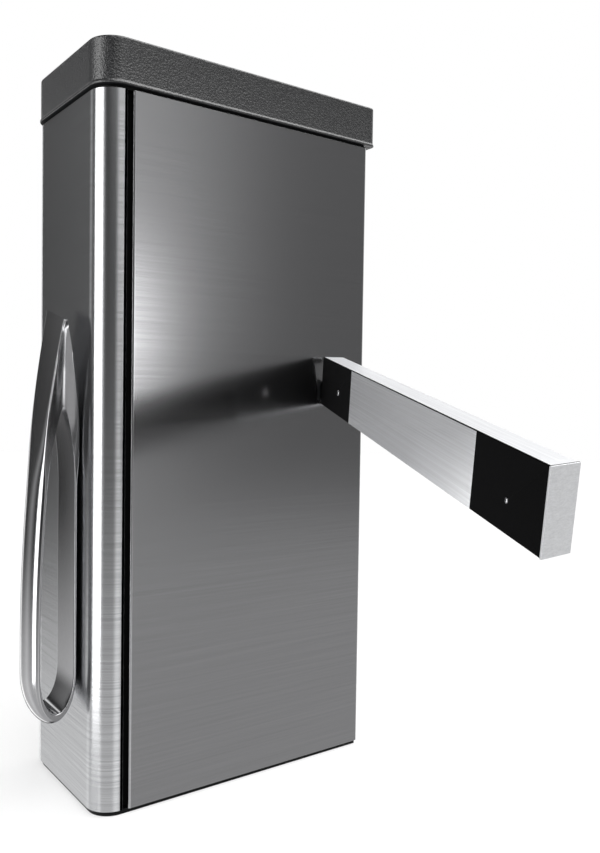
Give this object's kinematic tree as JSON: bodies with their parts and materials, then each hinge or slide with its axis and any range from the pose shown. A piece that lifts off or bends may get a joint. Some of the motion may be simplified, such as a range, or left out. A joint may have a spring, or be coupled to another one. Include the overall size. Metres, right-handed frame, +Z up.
{
  "type": "swing arm barrier pedestal",
  "caption": "Slim floor-standing barrier cabinet with rounded brushed steel door, loop pull handle, moulded cap and a box-section swing arm on a pivot at its wide side.",
  "frame": {"origin": "on the floor, at the centre of the four anchor holes", "axes": "+Z up, -Y towards the narrow front door with the handle, +X towards the wide side that carries the arm"},
  "size_m": [0.8658, 0.5165, 1.005],
  "materials": {
    "brushed_stainless": "brushed",
    "panel_stainless": "fine horizontal brushing",
    "polished_stainless": "polished",
    "brushed_aluminium": "brushed and anodised",
    "moulded_cap": "moulded leather grain",
    "black_powder_coat": "powder coat",
    "chassis_paint": "powder coat",
    "pad_black": "fine grain",
    "seal_rubber": "matte",
    "zinc_steel": "zinc plated",
    "galvanised_sheet": "zinc coated",
    "bronze": "sintered",
    "board_green": "solder mask",
    "terminal_plastic": "moulded",
    "gland_plastic": "moulded",
    "brass_spacer": "turned"
  },
  "bodies": {
    "cabinet": {"base_plate": "black_powder_coat", "corner_posts": "chassis_paint", "side_rails": "chassis_paint", "rear_rail": "chassis_paint", "top_deck": "black_powder_coat", "cap": "moulded_cap", "cap_screws": "zinc_steel", "side_panel_right": "panel_stainless", "side_panel_left": "panel_stainless", "rear_cover": "panel_stainless", "lock_barrel": "polished_stainless", "door_seal": "seal_rubber", "door_catch": "gland_plastic", "hinge_pin_lower": "zinc_steel", "hinge_pin_upper": "zinc_steel", "arm_mount_plate": "chassis_paint", "pivot_bracket": "black_powder_coat", "bracket_bolts": "zinc_steel", "swing_pin": "zinc_steel", "equipment_plate": "galvanised_sheet", "control_board": "board_green", "board_spacers": "brass_spacer", "power_supply": "galvanised_sheet", "terminal_block": "terminal_plastic", "cable_gland": "gland_plastic"},
    "door": {"door_shell": "brushed_stainless", "door_end_plates": "chassis_paint", "door_strike": "zinc_steel", "handle_loop": "polished_stainless", "handle_studs": "zinc_steel"},
    "lock": {"lock_cam": "zinc_steel"},
    "carrier": {"arm_carrier": "black_powder_coat", "swing_bushes": "bronze", "tilt_pin": "polished_stainless"},
    "arm": {"arm_beam": "brushed_aluminium", "arm_side_plates": "brushed_aluminium", "root_pads": "pad_black", "tip_pads": "pad_black", "arm_end_cap": "brushed_aluminium", "pad_screws": "polished_stainless", "tilt_bushes": "bronze"}
  },
  "joints": [
    {"name": "door_swing", "type": "hinge", "parent": "cabinet", "child": "door", "pos_m": [-0.11, -0.1905, 0.474], "axis": [0, 0, -1], "range_deg": [0, 110]},
    {"name": "arm_swing", "type": "hinge", "parent": "cabinet", "child": "carrier", "pos_m": [0.145, 0.142, 0.562], "axis": [0, 0, 1], "range_deg": [0, 106]},
    {"name": "arm_tilt", "type": "hinge", "parent": "carrier", "child": "arm", "pos_m": [0.21675, 0.11065, 0.558], "axis": [-0.4003, -0.9164, 0], "range_deg": [0, 17]},
    {"name": "lock_turn", "type": "hinge", "parent": "cabinet", "child": "lock", "pos_m": [0, 0.2, 0.52], "axis": [0, 1, 0], "range_deg": [0, 90]}
  ]
}
